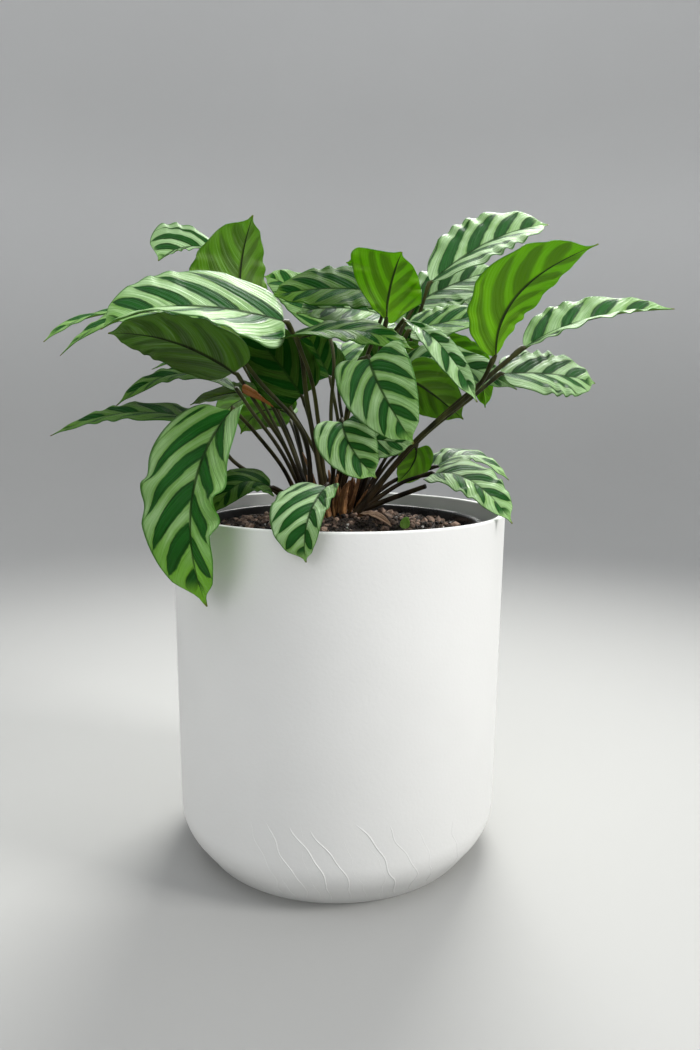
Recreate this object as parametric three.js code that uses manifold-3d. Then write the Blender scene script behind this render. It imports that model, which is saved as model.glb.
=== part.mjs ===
// A potted calathea: striped leaves on long petioles, rooted in a black nursery pot that stands
// inside an off-white cylindrical planter. Millimetres, +Z up. The origin is the centre of the
// planter's underside, +X is to the right and +Y away from the side that is looked at most.
import * as THREE from "three";
import { mergeVertices } from "three/addons/utils/BufferGeometryUtils.js";
import Module from "manifold-3d";

const wasm = await Module();
wasm.setup();

// Planter
const planterHeight = 260;
const planterRadius = 125;
const planterWall = 4.5;
const planterFloor = 7;
const wellRadius = 101; // of the flat bottom inside
const lipRound = 1.4;
const lipEdge = [0.5, 0.3]; // how far in and down the middle of the rounded lip is
const creaseHeight = 24; // where the straight wall turns into the bevelled foot
const innerCreaseLift = 2; // the same turn inside is this much higher
const creaseRadius = 122.4;
const creaseRound = 7; // how far along each side the crease is rounded off
const creaseSteps = 4;
const footRadius = 105;
const footBevel = [1, 0.8]; // in from the side and up from the underside
const planterSides = 48;

// Nursery pot
const nurseryHeight = 244;
const nurseryBaseRadius = 84;
const nurseryTopRadius = 105.5;
const nurseryWall = 1.6;
const nurseryFloor = 2.2;
const nurseryRim = 4.5; // how far the rim stands out from the wall
const nurseryRimHeight = 6;
const nurseryChamfer = 1;
const drainHoles = 6;
const drainRadius = 6;
const drainCircle = 52;
const drainSides = 12;

// Soil
const soilEdgeHeight = 243;
const soilEdgeDrop = 3; // how far the soil sinks at the pot's wall
const soilCrownHeight = 254;
const soilCrown = [0, 14]; // where the mound is highest
const soilLumps = 0.8;
const lumpTurns = [0.21, 0.17]; // radians per millimetre across and away
const soilRings = 7;

const gap = 0.3; // air between two pieces that touch in the real plant

// Leaves
const bladeThickness = 1.2;
const bladeRows = 8;
const rowCrowding = 1.25; // packs the rows towards the petiole
const bladeColumns = 4; // an even number, so that the midrib has its own line of points
const usualWidest = [0.3, 0.3]; // how far along the left and right halves are widest
const usualShoulder = 3; // the larger, the longer the blade keeps its width towards the petiole
const usualWedge = 0.5; // 0.5 for a round base, 1 for one that narrows into the petiole
const usualTaper = 0.75; // the larger, the longer the drawn-out tip
const usualLobes = [3, 3]; // how far the base's left and right lobes reach back past the petiole
const lobeReach = 0.05; // how far along the midrib a lobe reaches back most
const usualRise = [15, 15]; // degrees, of the left and right half from the midrib
const usualCurl = [-20, -20];
const leastHalfWidth = 1.2;
const petioleGap = 2.4; // from the end of a petiole to the first row of its blade

// Petioles
const petioleRadius = 1.7;
const petioleSides = 6;
const petioleSteps = 6;
const sheathRadius = 5;
const sheathTopRadius = 2.8;
const sheathHeight = 22;
const sheathSides = 8;
const sheathLift = 1.5; // above the soil
const petioleStart = 6; // above the soil, inside the sheath

const offWhite = new THREE.MeshStandardMaterial({ color: 0xe4e4e2, roughness: 0.55 });
const blackPlastic = new THREE.MeshStandardMaterial({ color: 0x17181a, roughness: 0.4 });
const soilBrown = new THREE.MeshStandardMaterial({ color: 0x2a1f19, roughness: 0.95 });
const leafGreen = new THREE.MeshStandardMaterial({ color: 0x4f8a45, roughness: 0.45 });
const stemGreen = new THREE.MeshStandardMaterial({ color: 0x3c3d28, roughness: 0.6 });
const dryBrown = new THREE.MeshStandardMaterial({ color: 0xb06a32, roughness: 0.8 });
const sproutGreen = new THREE.MeshStandardMaterial({ color: 0x8fc04a, roughness: 0.6 });

const group = new THREE.Group();

const vec = (p) => new THREE.Vector3(...p);
const radians = THREE.MathUtils.degToRad;

function addMesh(name, geometry, material) {
  const mesh = new THREE.Mesh(geometry, material);
  mesh.name = name;
  group.add(mesh);
  return mesh;
}

// ---- booleans

function solidOf(geometry) {
  const bare = geometry.clone();
  bare.deleteAttribute("normal");
  bare.deleteAttribute("uv");
  const merged = mergeVertices(bare, 1e-4);
  return new wasm.Manifold(
    new wasm.Mesh({
      numProp: 3,
      vertProperties: merged.attributes.position.array,
      triVerts: new Uint32Array(merged.index.array),
    }),
  );
}

function geometryOf(solid) {
  const mesh = solid.getMesh();
  const geometry = new THREE.BufferGeometry();
  geometry.setAttribute("position", new THREE.BufferAttribute(mesh.vertProperties, 3));
  geometry.setIndex(new THREE.BufferAttribute(mesh.triVerts, 1));
  geometry.computeVertexNormals();
  return geometry;
}

// ---- planter

function lathe(points, sides) {
  const profile = points.map(([r, z]) => new THREE.Vector2(r, z));
  return new THREE.LatheGeometry(profile, sides).rotateX(Math.PI / 2);
}

// The wall's outline near the crease, as a quadratic curve between the two straight stretches.
function creaseCurve(foot, crease, top) {
  const corner = new THREE.Vector2(...crease);
  const footPoint = new THREE.Vector2(...foot);
  const topPoint = new THREE.Vector2(...top);
  const start = corner.clone().lerp(footPoint, creaseRound / corner.distanceTo(footPoint));
  const end = corner.clone().lerp(topPoint, creaseRound / corner.distanceTo(topPoint));
  const curve = new THREE.QuadraticBezierCurve(start, corner, end);
  return curve.getPoints(creaseSteps).map((p) => [p.x, p.y]);
}

function makePlanter() {
  const innerTop = planterRadius - planterWall;
  const lipStart = planterHeight - lipRound;
  const [edgeIn, edgeDown] = lipEdge;
  const [footIn, footUp] = footBevel;
  const outside = [
    [0, 0],
    [footRadius - footIn, 0],
    [footRadius, footUp],
    ...creaseCurve(
      [footRadius, footUp],
      [creaseRadius, creaseHeight],
      [planterRadius, planterHeight],
    ),
    [planterRadius, lipStart],
    [planterRadius - edgeIn, planterHeight - edgeDown],
    [planterRadius - lipRound, planterHeight],
  ];
  const inside = [
    [innerTop + lipRound, planterHeight],
    [innerTop + edgeIn, planterHeight - edgeDown],
    [innerTop, lipStart],
    [creaseRadius - planterWall, creaseHeight + innerCreaseLift],
    [wellRadius, planterFloor],
    [0, planterFloor],
  ];
  addMesh("cover_pot", lathe([...outside, ...inside], planterSides), offWhite);
}

// ---- nursery pot, with drain holes cut through its bottom

const nurseryBase = planterFloor + gap;

function makeNurseryPot() {
  const bottomInside = nurseryBase + nurseryFloor;
  const rimTop = nurseryBase + nurseryHeight;
  const rimBottom = rimTop - nurseryRimHeight;
  const rimRadius = nurseryTopRadius + nurseryRim;
  const mouthRadius = nurseryTopRadius - nurseryWall;
  const shell = lathe(
    [
      [0, nurseryBase],
      [nurseryBaseRadius, nurseryBase],
      [nurseryTopRadius, rimBottom],
      [rimRadius, rimBottom],
      [rimRadius, rimTop - nurseryChamfer],
      [rimRadius - nurseryChamfer, rimTop],
      [mouthRadius + nurseryChamfer, rimTop],
      [mouthRadius, rimTop - nurseryChamfer],
      [nurseryBaseRadius - nurseryWall, bottomInside],
      [0, bottomInside],
    ],
    planterSides,
  );
  const drill = new THREE.CylinderGeometry(
    drainRadius,
    drainRadius,
    4 * nurseryFloor,
    drainSides,
  );
  drill.rotateX(Math.PI / 2).translate(drainCircle, 0, nurseryBase);
  let pot = solidOf(shell);
  for (let i = 0; i < drainHoles; i += 1) {
    pot = pot.subtract(solidOf(drill.rotateZ((2 * Math.PI) / drainHoles)));
  }
  addMesh("nursery_pot", geometryOf(pot), blackPlastic);
}

// ---- soil, one solid that fills the nursery pot and is mounded round the stems

function soilTop(x, y) {
  const away = Math.hypot(x - soilCrown[0], y - soilCrown[1]) / nurseryTopRadius;
  const lumps = soilLumps * Math.sin(x * lumpTurns[0] + 1) * Math.cos(y * lumpTurns[1]);
  const fall = THREE.MathUtils.smoothstep(away, 0, 1);
  return soilCrownHeight - (soilCrownHeight - soilEdgeHeight) * fall + lumps;
}

function makeSoil() {
  const bottom = nurseryBase + nurseryFloor + gap;
  const edge = soilEdgeHeight - soilEdgeDrop;
  const lowRadius = nurseryBaseRadius - nurseryWall - 2 * gap;
  const highRadius = nurseryTopRadius - nurseryWall - 5 * gap;
  const profile = [
    [0, bottom],
    [lowRadius, bottom],
  ];
  for (let i = 0; i <= soilRings; i += 1) {
    profile.push([highRadius * (1 - i / soilRings), edge]);
  }
  const geometry = lathe(profile, planterSides);
  const places = geometry.attributes.position;
  for (let i = 0; i < places.count; i += 1) {
    const x = places.getX(i);
    const y = places.getY(i);
    const onTop = places.getZ(i) > (bottom + edge) / 2;
    const inside = Math.hypot(x, y) < highRadius - gap;
    if (onTop && inside) places.setZ(i, soilTop(x, y));
  }
  addMesh("soil", geometry, soilBrown);
}

// ---- leaf blades

// A smooth curve through three points, at s from 0 to 1.
function midrib([a, b, c], s) {
  const early = vec(a).multiplyScalar(2 * (s - 0.5) * (s - 1));
  const middle = vec(b).multiplyScalar(-4 * s * (s - 1));
  const late = vec(c).multiplyScalar(2 * s * (s - 0.5));
  return early.add(middle).add(late);
}

// Half the width of a blade along its length, as a share of the widest place, drawn out towards
// the tip.
function outline(s, side, blade) {
  const { shoulder = usualShoulder, wedge = usualWedge, taper = usualTaper } = blade;
  const widest = (blade.widest ?? usualWidest)[side];
  if (s < widest) return (1 - ((widest - s) / widest) ** shoulder) ** wedge;
  return (1 - ((s - widest) / (1 - widest)) ** 2) ** taper;
}

// A place on the blade: s runs from the petiole to the tip and t from the left margin (-1) to the
// right one (1), seen from above with the tip ahead. Each half rises from the midrib at its own
// angle and then curls towards its margin.
function bladePlace(blade, s, t, lift) {
  const { points, width, face, tipFace = face, halves = [1, 1] } = blade;
  const { rise = usualRise, tipRise = rise, curl = usualCurl, lobes = usualLobes } = blade;
  const step = 0.01;
  const along = midrib(points, s + step)
    .sub(midrib(points, s - step))
    .normalize();
  const facing = vec(face).lerp(vec(tipFace), s);
  const right = along.clone().cross(facing).normalize();
  const up = right.clone().cross(along);
  const side = t < 0 ? 0 : 1;
  const start = radians(THREE.MathUtils.lerp(rise[side], tipRise[side], s * (2 - s)));
  const bend = radians(curl[side]);
  const share = halves[side] * outline(s, side, blade);
  const half = Math.max((width / 2) * share, leastHalfWidth);
  const end = start + bend * Math.abs(t);
  const out = (half * (Math.sin(end) - Math.sin(start))) / bend;
  const high = (-half * (Math.cos(end) - Math.cos(start))) / bend;
  const near = s / lobeReach;
  const back = lobes[side] * near * Math.exp(1 - near) * Math.abs(t) ** 1.5;
  const tilt = t === 0 ? 0 : end;
  const sign = t < 0 ? -1 : 1;
  return midrib(points, s)
    .addScaledVector(along, -back)
    .addScaledVector(right, sign * (out - lift * Math.sin(tilt)))
    .addScaledVector(up, high + lift * Math.cos(tilt));
}

function bladeGeometry(blade) {
  const wide = bladeColumns + 1;
  const layer = wide * (bladeRows + 1);
  const places = [];
  for (const lift of [bladeThickness / 2, -bladeThickness / 2]) {
    for (let i = 0; i <= bladeRows; i += 1) {
      for (let j = 0; j <= bladeColumns; j += 1) {
        const s = (i / bladeRows) ** rowCrowding;
        const t = (2 * j) / bladeColumns - 1;
        places.push(...bladePlace(blade, s, t, lift).toArray());
      }
    }
  }
  const faces = [];
  const quad = (a, b, c, d) => faces.push(a, b, c, a, c, d);
  for (let i = 0; i < bladeRows; i += 1) {
    for (let j = 0; j < bladeColumns; j += 1) {
      const a = i * wide + j;
      quad(a, a + 1, a + 1 + wide, a + wide);
      quad(a + layer, a + wide + layer, a + 1 + wide + layer, a + 1 + layer);
    }
    const left = i * wide;
    const right = left + bladeColumns;
    quad(left, left + wide, left + wide + layer, left + layer);
    quad(right, right + layer, right + wide + layer, right + wide);
  }
  const last = bladeRows * wide;
  for (let j = 0; j < bladeColumns; j += 1) {
    quad(j, j + layer, j + 1 + layer, j + 1);
    quad(last + j, last + j + 1, last + j + 1 + layer, last + j + layer);
  }
  const geometry = new THREE.BufferGeometry();
  geometry.setAttribute("position", new THREE.Float32BufferAttribute(places, 3));
  geometry.setIndex(faces);
  geometry.computeVertexNormals();
  return geometry;
}

// A blade from its midrib's base, middle and tip, its width across, and the way its upper surface
// faces. The rest is optional: rise is the angle at which the left and right halves rise from the
// midrib, tipRise the same at the tip, curl the angle that each half bends back by, lobes how far
// the base's lobes reach back, halves each half's share of the width, and widest, shoulder, wedge
// and taper shape the outline.
function leaf(base, middle, tip, width, face, shape = {}) {
  return { points: [base, middle, tip], width, face, ...shape };
}

const leaves = {
  left_1: leaf([-104, 92, 466], [-130, 83, 467], [-151, 72, 454], 58, [-0.2, -0.95, 0.25], {
    rise: [60, 8],
    lobes: [0, 0],
    halves: [0.3, 1],
    widest: [0.5, 0.65],
    shoulder: 1.2,
    wedge: 0.9,
  }),
  left_2: leaf([-73, 30, 388], [-80, 42, 436], [-68, 30, 481], 78, [-0.4, 0.9, 0.15], {
    rise: [45, 8],
    halves: [0.9, 1.12],
  }),
  left_3: leaf([-38, -45, 394], [-100, -89, 398], [-146, -105, 382], 66, [0, -0.9, 0.4], {
    rise: [10, 0],
    tipRise: [70, 0],
    lobes: [2, 8],
  }),
  left_4: leaf([-102, 55, 404], [-177, 35, 409], [-223, 5, 383], 38, [0, -0.15, 1]),
  left_5: leaf([-90, 0, 391], [-146, -22, 401], [-195, -40, 370], 40, [0, -0.7, 0.7], {
    tipFace: [0, -0.1, 1],
  }),
  left_6: leaf([-75, -30, 360], [-112, -60, 379], [-149, -80, 382], 60, [-0.1, 0.5, 0.87]),
  left_7: leaf([-87, 65, 376], [-118, 50, 376], [-151, 40, 365], 34, [0, -0.1, 1]),
  left_8: leaf([-81, 8, 350], [-122, -8, 359], [-162, -22, 336], 38, [0, -0.3, 0.95]),
  left_9: leaf([-63, 40, 348], [-90, 33, 347], [-118, 25, 337], 38, [0, 0.3, 0.95], {
    lobes: [0, 0],
  }),
  left_10: leaf([-97, -20, 323], [-150, -30, 331], [-208, -30, 314], 42, [0, -0.3, 0.95]),
  left_11: leaf([-71, -72, 333], [-89, -118, 278], [-82, -114, 210], 82, [-0.3, -0.95, 0.15], {
    rise: [50, 5],
    tipRise: [32, 5],
    halves: [0.62, 1],
    lobes: [4, 12],
    shoulder: 3.6,
    taper: 0.62,
  }),
  left_12: leaf([-50, -28, 278], [-70, -45, 282], [-86, -62, 262], 36, [-0.2, -0.6, 0.75]),
  left_13: leaf([-43, 88, 330], [-68, 85, 333], [-86, 80, 313], 42, [0, 0.8, 0.6]),
  front_1: leaf([-7, -92, 285], [-17, -126, 268], [-18, -134, 243], 54, [-0.2, -0.85, 0.5], {
    rise: [38, 10],
    tipRise: [44, 10],
    halves: [0.56, 1],
    lobes: [2, 7],
  }),
  front_2: leaf([-28, -44, 384], [11, -61, 387], [49, -72, 374], 42, [0, -0.3, 0.95], {
    rise: [20, 28],
    tipRise: [20, -5],
    lobes: [14, 12],
    shoulder: 4,
  }),
  front_3: leaf([20, -82, 367], [28, -108, 345], [47, -116, 314], 50, [-0.15, -0.9, 0.4], {
    rise: [35, 5],
    tipRise: [30, 5],
    lobes: [4, 14],
    shoulder: 5,
  }),
  front_4: leaf([3, -72, 326], [9, -89, 310], [25, -94, 291], 42, [0, -0.85, 0.5], {
    rise: [40, 15],
    lobes: [4, 4],
  }),
  front_5: leaf([9, -48, 318], [29, -55, 314], [51, -62, 312], 34, [0, -0.85, 0.5]),
  front_6: leaf([32, -44, 396], [34, -47, 416], [41, -60, 438], 64, [-0.1, 0.97, 0.2], {
    lobes: [4, 0],
    halves: [0.75, 1],
    widest: [0.35, 0.8],
    shoulder: 1.2,
    wedge: 0.9,
  }),
  front_7: leaf([46, -37, 396], [69, -66, 376], [90, -85, 340], 28, [0.35, -0.7, 0.6], {
    rise: [60, 10],
    lobes: [0, 0],
    halves: [0.55, 1],
    widest: [0.55, 0.55],
    shoulder: 1.5,
    wedge: 0.9,
  }),
  mid_1: leaf([-31, 34, 345], [-51, 22, 373], [-76, 12, 402], 54, [0.1, -0.95, 0.3]),
  mid_2: leaf([34, -10, 418], [-7, -25, 419], [-49, -35, 412], 54, [0, -0.65, 0.75]),
  mid_3: leaf([-14, 80, 407], [-40, 88, 434], [-67, 94, 446], 40, [0, -0.8, 0.6]),
  mid_4: leaf([40, 35, 406], [3, 10, 410], [-32, -8, 404], 40, [0, -0.8, 0.6]),
  mid_5: leaf([39, 95, 427], [22, 100, 450], [3, 100, 459], 34, [0, 0.7, 0.7]),
  right_1: leaf([72, 55, 437], [122, 70, 472], [170, 80, 487], 66, [-0.1, -0.85, 0.5], {
    rise: [5, 45],
    lobes: [0, 0],
    widest: [0.4, 0.4],
    shoulder: 1.8,
    wedge: 0.65,
  }),
  right_2: leaf([63, 85, 423], [94, 98, 441], [137, 110, 457], 54, [-0.1, -0.75, 0.65]),
  right_3: leaf([108, -40, 372], [120, -58, 413], [166, -75, 441], 68, [-0.4, 0.85, 0.35], {
    rise: [30, 8],
    lobes: [0, 0],
    halves: [0.75, 1],
    widest: [0.42, 0.42],
    shoulder: 1.6,
    wedge: 0.75,
    taper: 1.2,
  }),
  right_4: leaf([133, -20, 380], [183, -8, 402], [249, 5, 411], 42, [0, -0.8, 0.6], {
    rise: [10, 60],
    lobes: [0, 0],
    widest: [0.35, 0.35],
    shoulder: 2,
    wedge: 0.7,
  }),
  right_5: leaf([121, -5, 362], [163, 6, 362], [195, 12, 356], 50, [0, -0.75, 0.65], {
    rise: [8, 20],
    widest: [0.45, 0.45],
  }),
  right_6: leaf([54, 15, 395], [82, 10, 401], [115, 5, 408], 44, [0, -0.6, 0.8]),
  right_7: leaf([51, 90, 405], [84, 95, 425], [127, 98, 432], 44, [0, -0.7, 0.7]),
  right_8: leaf([50, 5, 359], [70, 4, 347], [94, 6, 328], 44, [0.1, 0.9, 0.4]),
  right_9: leaf([60, 20, 305], [57, 20, 292], [45, 18, 278], 28, [0.2, 0.9, 0.3]),
  right_10: leaf([71, -14, 288], [96, -42, 284], [120, -64, 258], 42, [0.1, -0.7, 0.7], {
    rise: [10, 25],
  }),
  right_11: leaf([77, 25, 291], [105, 32, 299], [135, 28, 280], 38, [0, -0.2, 0.98]),
  right_12: leaf([110, 66, 382], [116, 62, 361], [119, 58, 337], 22, [0.3, 0.9, 0.3]),
  right_13: leaf([53, 27, 365], [89, 23, 370], [136, 15, 351], 39, [0, -0.75, 0.65]),
  right_14: leaf([75, 50, 389], [97, 46, 383], [118, 42, 372], 30, [0, 0.6, 0.8]),
  right_15: leaf([40, 42, 382], [54, 42, 384], [68, 42, 378], 16, [0, 0.5, 0.87]),
  back_1: leaf([-10, 80, 362], [-21, 100, 382], [-32, 112, 403], 40, [0, -0.9, 0.4]),
  back_2: leaf([26, 80, 343], [44, 105, 385], [69, 120, 405], 46, [0, -0.9, 0.4]),
  back_3: leaf([-50, 110, 330], [-90, 160, 345], [-125, 200, 322], 50, [0, 0.1, 1]),
  back_4: leaf([55, 110, 335], [85, 160, 355], [112, 195, 345], 50, [0, 0.1, 1]),
  back_5: leaf([-3, 110, 368], [0, 160, 396], [8, 205, 386], 52, [0, 0.1, 1]),
};

// ---- stems: petioles that rise from a common sheath

// Every shoot: the foot of its sheath, and for each of its leaves the places that the petiole
// passes through on its way from the sheath to the blade. A stub is a petiole cut off short.
const shoots = {
  left_front: {
    foot: [-27, 0],
    petioles: {
      left_11: [[-40, -15, 288], [-58, -50, 318]],
      left_10: [[-62, -12, 284], [-80, -18, 298]],
      left_12: [[-38, -12, 270]],
      front_1: [[-24, -30, 268], [-8, -65, 283]],
    },
  },
  left: {
    foot: [-22, 16],
    petioles: {
      left_5: [[-28, 10, 315], [-62, 5, 356]],
      left_6: [[-41, 0, 305], [-55, -10, 328]],
      left_8: [[-46, 10, 303], [-68, 5, 334]],
    },
  },
  left_back: {
    foot: [-22, 34],
    petioles: {
      left_1: [[-40, 60, 330], [-66, 85, 400]],
      left_4: [[-45, 45, 320], [-75, 55, 375]],
      left_7: [[-48, 50, 310], [-70, 62, 350]],
      left_9: [[-42, 40, 310]],
      left_13: [[-28, 62, 300]],
      back_3: [[-32, 70, 290], [-42, 95, 318]],
    },
  },
  front: {
    foot: [-9, 0],
    petioles: {
      left_3: [[-24, -15, 341], [-28, -32, 376]],
      front_2: [[-16, -12, 327], [-20, -30, 355]],
      mid_1: [[-18, 18, 305]],
      front_4: [[-4, -30, 290], [-2, -60, 322]],
    },
  },
  back: {
    foot: [-4, 36],
    petioles: {
      left_2: [[-20, 38, 300], [-50, 32, 350]],
      mid_3: [[-8, 50, 330], [-6, 56, 375]],
      mid_5: [[5, 60, 330], [25, 85, 390]],
      back_1: [[0, 58, 305]],
      back_5: [[4, 70, 300], [-2, 92, 345]],
    },
  },
  middle: {
    foot: [-4, 18],
    petioles: {
      front_3: [[2, 0, 310], [12, -50, 365]],
      front_5: [[2, -10, 290]],
      mid_2: [[6, 10, 330], [26, 2, 390]],
      front_6: [[14, 0, 320], [28, -35, 375]],
      front_7: [[18, 5, 320], [32, -20, 380]],
    },
  },
  right: {
    foot: [13, 2],
    petioles: {
      right_3: [[57, -8, 312], [100, -24, 352]],
      right_4: [[60, -6, 314], [110, -20, 361]],
      right_5: [[62, 0, 314], [100, -8, 346]],
      right_10: [[48, -3, 280]],
    },
    stubs: [[[35, -4, 266], [64, -20, 279]]],
  },
  right_back: {
    foot: [13, 20],
    petioles: {
      right_11: [[45, 24, 280]],
      right_8: [[26, 5, 300], [38, -8, 335]],
      right_13: [[28, 18, 310], [40, 14, 345]],
      right_6: [[26, 26, 320], [40, 22, 370]],
      mid_4: [[20, 35, 320], [32, 42, 380]],
      right_14: [[32, 36, 310], [56, 50, 375]],
      right_15: [[28, 34, 330]],
      right_12: [[45, 42, 310], [84, 62, 378]],
      right_9: [[44, 34, 298]],
    },
  },
  far_right: {
    foot: [13, 38],
    petioles: {
      right_1: [[36, 58, 325], [60, 64, 400]],
      right_2: [[28, 65, 330], [48, 80, 395]],
      right_7: [[26, 60, 310], [40, 82, 375]],
      back_2: [[18, 60, 300]],
      back_4: [[28, 70, 285], [44, 98, 315]],
    },
  },
};

function tube(places, radius, sides, steps) {
  const ring = new THREE.Shape();
  for (let i = 0; i < sides; i += 1) {
    const angle = (i * 2 * Math.PI) / sides;
    ring[i ? "lineTo" : "moveTo"](radius * Math.cos(angle), radius * Math.sin(angle));
  }
  ring.closePath();
  const path = new THREE.CatmullRomCurve3(places.map(vec));
  return new THREE.ExtrudeGeometry(ring, { steps, extrudePath: path, curveSegments: 1 });
}

// A petiole ends just short of its blade.
function petioleEnd(leafName) {
  const [base, middle] = leaves[leafName].points;
  const back = vec(base).sub(vec(middle)).normalize();
  return vec(base).addScaledVector(back, petioleGap).toArray();
}

function makeShoot(name, { foot, petioles, stubs = [] }) {
  const ground = soilTop(...foot);
  const sheath = new THREE.CylinderGeometry(
    sheathTopRadius,
    sheathRadius,
    sheathHeight,
    sheathSides,
  );
  sheath.rotateX(Math.PI / 2).translate(...foot, ground + sheathLift + sheathHeight / 2);
  let shoot = solidOf(sheath);
  const start = [...foot, ground + petioleStart];
  const routes = stubs.map((stub) => [start, ...stub]);
  for (const [leafName, via] of Object.entries(petioles)) {
    routes.push([start, ...via, petioleEnd(leafName)]);
  }
  for (const route of routes) {
    shoot = shoot.add(solidOf(tube(route, petioleRadius, petioleSides, petioleSteps)));
  }
  addMesh(`shoot_${name}`, geometryOf(shoot), stemGreen);
}

// ---- small things

const dryLeaf = leaf([-69, -34, 349], [-61, -30, 345], [-48, -22, 336], 8, [0.2, -0.8, 0.5], {
  lobes: [0, 0],
});
const scrap = leaf([14, -18, 256], [26, -30, 258], [38, -42, 252], 9, [0, -0.3, 1], {
  rise: [35, 35],
  lobes: [0, 0],
});
const sprout = leaf([47, -45, 251], [48, -46, 256], [50, -48, 259], 7, [0, -0.9, 0.4], {
  lobes: [0, 0],
});

makePlanter();
makeNurseryPot();
makeSoil();
for (const [name, shoot] of Object.entries(shoots)) makeShoot(name, shoot);
for (const [name, blade] of Object.entries(leaves)) {
  addMesh(`leaf_${name}`, bladeGeometry(blade), leafGreen);
}
addMesh("dry_leaf", bladeGeometry(dryLeaf), dryBrown);
addMesh("fallen_scrap", bladeGeometry(scrap), dryBrown);
addMesh("sprout", bladeGeometry(sprout), sproutGreen);

export default group;
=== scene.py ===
import math
import random

import bmesh
import bpy
from mathutils import Matrix, Vector, noise


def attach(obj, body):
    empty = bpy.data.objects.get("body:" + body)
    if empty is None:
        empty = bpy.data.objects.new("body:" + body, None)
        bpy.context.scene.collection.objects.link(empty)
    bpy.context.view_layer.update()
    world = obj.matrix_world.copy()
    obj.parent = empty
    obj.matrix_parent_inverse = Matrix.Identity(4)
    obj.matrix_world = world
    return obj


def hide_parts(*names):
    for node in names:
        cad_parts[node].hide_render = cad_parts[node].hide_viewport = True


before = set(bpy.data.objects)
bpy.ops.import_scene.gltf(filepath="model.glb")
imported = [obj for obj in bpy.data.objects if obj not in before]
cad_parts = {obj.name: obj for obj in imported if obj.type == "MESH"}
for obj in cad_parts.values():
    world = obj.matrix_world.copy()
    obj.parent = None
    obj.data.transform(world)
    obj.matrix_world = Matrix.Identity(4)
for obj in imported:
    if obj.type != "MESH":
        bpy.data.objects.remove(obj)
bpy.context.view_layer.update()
print("frame loaded")

mm = 0.001


# Nodes and pieces

# Links the socket where the value is a socket too, and sets it otherwise
def setSocket(tree, socket, value):
    if isinstance(value, bpy.types.NodeSocket):
        tree.links.new(value, socket)
    else:
        socket.default_value = value


def addNode(tree, kind, values=None, **settings):
    node = tree.nodes.new(kind)
    for name, value in settings.items():
        setattr(node, name, value)
    for socket, value in (values or {}).items():
        setSocket(tree, node.inputs[socket], value)
    return node


def calc(tree, operation, *values):
    return addNode(tree, "ShaderNodeMath", dict(enumerate(values)), operation=operation).outputs[0]


# 0 below low and 1 above high, or the other way round when low is the larger
def ramp(tree, value, low, high, smooth=True):
    kind = "SMOOTHSTEP" if smooth else "LINEAR"
    values = {"Value": value, "From Min": low, "From Max": high}
    return addNode(tree, "ShaderNodeMapRange", values, interpolation_type=kind).outputs[0]


def noiseOf(tree, place, scale, detail=2.0):
    values = {"Vector": place, "Scale": scale, "Detail": detail}
    return addNode(tree, "ShaderNodeTexNoise", values).outputs[0]


def mixColor(tree, factor, first, second):
    return addNode(tree, "ShaderNodeMix", {0: factor, 6: first, 7: second}, data_type="RGBA").outputs[2]


# Lays each (pattern, strength, color) over the shade in turn
def layered(tree, shade, layers):
    for cover, strength, over in layers:
        shade = mixColor(tree, calc(tree, "MULTIPLY", cover, strength), shade, over)
    return shade


def color(red, green, blue):
    return (red, green, blue, 1)


black = color(0, 0, 0)


def objectPlace(tree):
    return tree.nodes.new("ShaderNodeTexCoord").outputs["Object"]


def heightOf(tree, place):
    return addNode(tree, "ShaderNodeSeparateXYZ", {0: place}).outputs[2]


def uvPlace(tree, name):
    return addNode(tree, "ShaderNodeUVMap", uv_map=name).outputs[0]


# inputs holds each input's value, or None for a vector, and every output is a number
def newGroup(name, inputs, outputs):
    tree = bpy.data.node_groups.new(name, "ShaderNodeTree")
    for label, value in inputs.items():
        kind = "NodeSocketVector" if value is None else "NodeSocketFloat"
        socket = tree.interface.new_socket(name=label, in_out="INPUT", socket_type=kind)
        if value is not None:
            socket.default_value = value
    for label in outputs:
        tree.interface.new_socket(name=label, in_out="OUTPUT", socket_type="NodeSocketFloat")
    start = tree.nodes.new("NodeGroupInput")
    end = tree.nodes.new("NodeGroupOutput")
    return tree, start.outputs, end.inputs


def newMaterial(name):
    material = bpy.data.materials.new(name)
    material.use_nodes = True
    tree = material.node_tree
    tree.nodes.clear()
    shader = tree.nodes.new("ShaderNodeBsdfPrincipled")
    end = tree.nodes.new("ShaderNodeOutputMaterial")
    tree.links.new(shader.outputs[0], end.inputs[0])
    return material, tree, shader, end


# The shade, roughness and specular level are each a socket, or one value for the whole surface
def setFinish(tree, shader, shade, roughness, specular=0.5):
    setSocket(tree, shader.inputs["Base Color"], shade)
    setSocket(tree, shader.inputs["Roughness"], roughness)
    setSocket(tree, shader.inputs["Specular IOR Level"], specular)


def addBump(tree, shader, height, distance, strength=1.0):
    bump = addNode(tree, "ShaderNodeBump", {"Height": height, "Distance": distance, "Strength": strength})
    tree.links.new(bump.outputs[0], shader.inputs["Normal"])


# Grain: cloudy tone and fine relief, used by every finish except the leaves'
def makeGrainGroup():
    inputs = {"Place": None, "Cloud Scale": 20.0, "Grain Scale": 800.0}
    tree, given, result = newGroup("grain", inputs, ("Tone", "Relief"))
    cloud = noiseOf(tree, given["Place"], given["Cloud Scale"], 3.0)
    tree.links.new(ramp(tree, cloud, 0.3, 0.7), result["Tone"])
    tree.links.new(noiseOf(tree, given["Place"], given["Grain Scale"]), result["Relief"])
    return tree


grainGroup = makeGrainGroup()


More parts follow.
